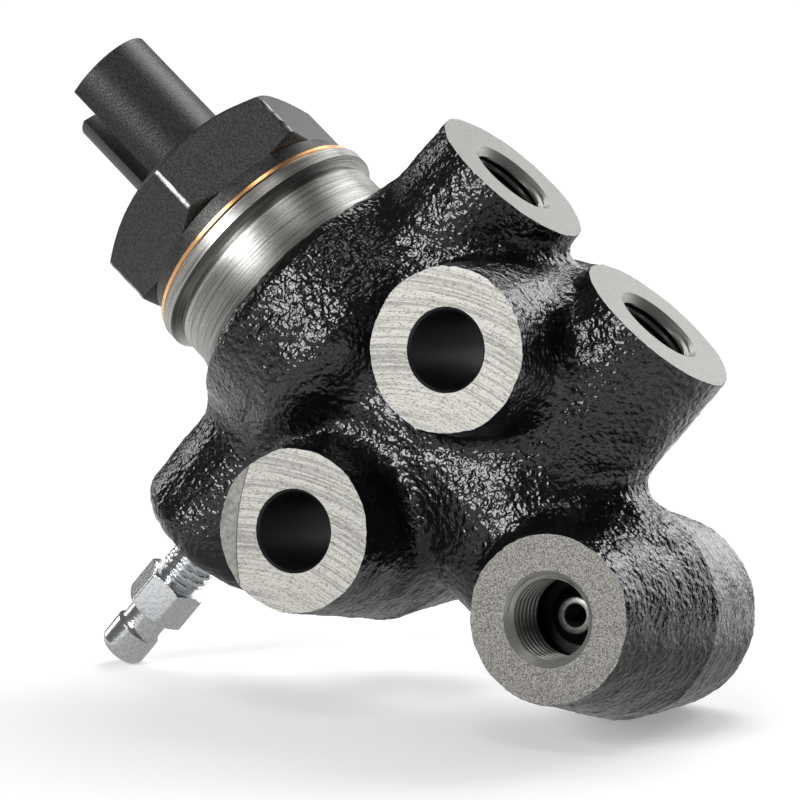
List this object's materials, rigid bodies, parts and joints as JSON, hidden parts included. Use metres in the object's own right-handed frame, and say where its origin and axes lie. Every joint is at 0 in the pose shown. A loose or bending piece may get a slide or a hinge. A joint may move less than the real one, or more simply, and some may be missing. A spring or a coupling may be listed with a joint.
{
  "type": "brake pressure proportioning valve",
  "caption": "Cast-iron hydraulic valve body with bolt bosses, threaded pipe ports, a slotted hexagon guide plug over a spring-loaded piston, and a bleed screw.",
  "frame": {"origin": "midway between the two mounting bolts, in the casting's parting plane", "axes": "+Y along the mounting bolts, away from the end port's mouth; the main bore leans 47 degrees from +Z towards -X, and the two side ports open at right angles to it, towards +X and +Z"},
  "size_m": [0.0821, 0.0404, 0.0796],
  "materials": {
    "painted_casting": "gloss black paint over rough cast skin, with milled grey faces",
    "black_steel": "black phosphate, fine grain, bright worn edges",
    "copper": "plain copper",
    "plain_steel": "turned",
    "spring_steel": "drawn wire",
    "zinc_steel": "bright blue-white zinc plate",
    "seal_rubber": "moulded"
  },
  "bodies": {
    "body": {"valve_body": "painted_casting", "guide_plug": "black_steel", "copper_washer": "copper", "rod_cup_seal": "seal_rubber", "seal_retainer": "plain_steel", "rod_dust_seal": "seal_rubber", "piston_spring": "spring_steel", "seat_retainer": "plain_steel", "valve_seat_ring": "seal_rubber", "seat_support_ring": "plain_steel", "bypass_spring": "spring_steel", "bypass_retaining_ring": "spring_steel", "upper_port_seat": "plain_steel", "lower_port_seat": "plain_steel", "end_port_seat": "plain_steel"},
    "control_piston": {"control_piston": "plain_steel", "spring_seat": "plain_steel"},
    "bypass_piston": {"bypass_piston": "plain_steel", "bypass_cup_upper": "seal_rubber", "bypass_cup_lower": "seal_rubber"},
    "bleed_screw": {"bleed_screw": "zinc_steel"}
  },
  "joints": [
    {"name": "control_piston_slide", "type": "slide", "parent": "body", "child": "control_piston", "axis": [-0.7314, 0, 0.682], "range_m": [0, 0.0019], "stiffness_N_per_m": 4000, "deforming": ["piston_spring"]},
    {"name": "bypass_piston_slide", "type": "slide", "parent": "body", "child": "bypass_piston", "axis": [0.7314, 0, -0.682], "range_m": [0, 0.0015], "stiffness_N_per_m": 1500, "deforming": ["bypass_spring"]},
    {"name": "bleed_screw_turn", "type": "hinge", "parent": "body", "child": "bleed_screw", "pos_m": [-0.03781, 0, -0.01943], "axis": [-0.682, 0, -0.7314], "range_deg": [0, 270]}
  ]
}
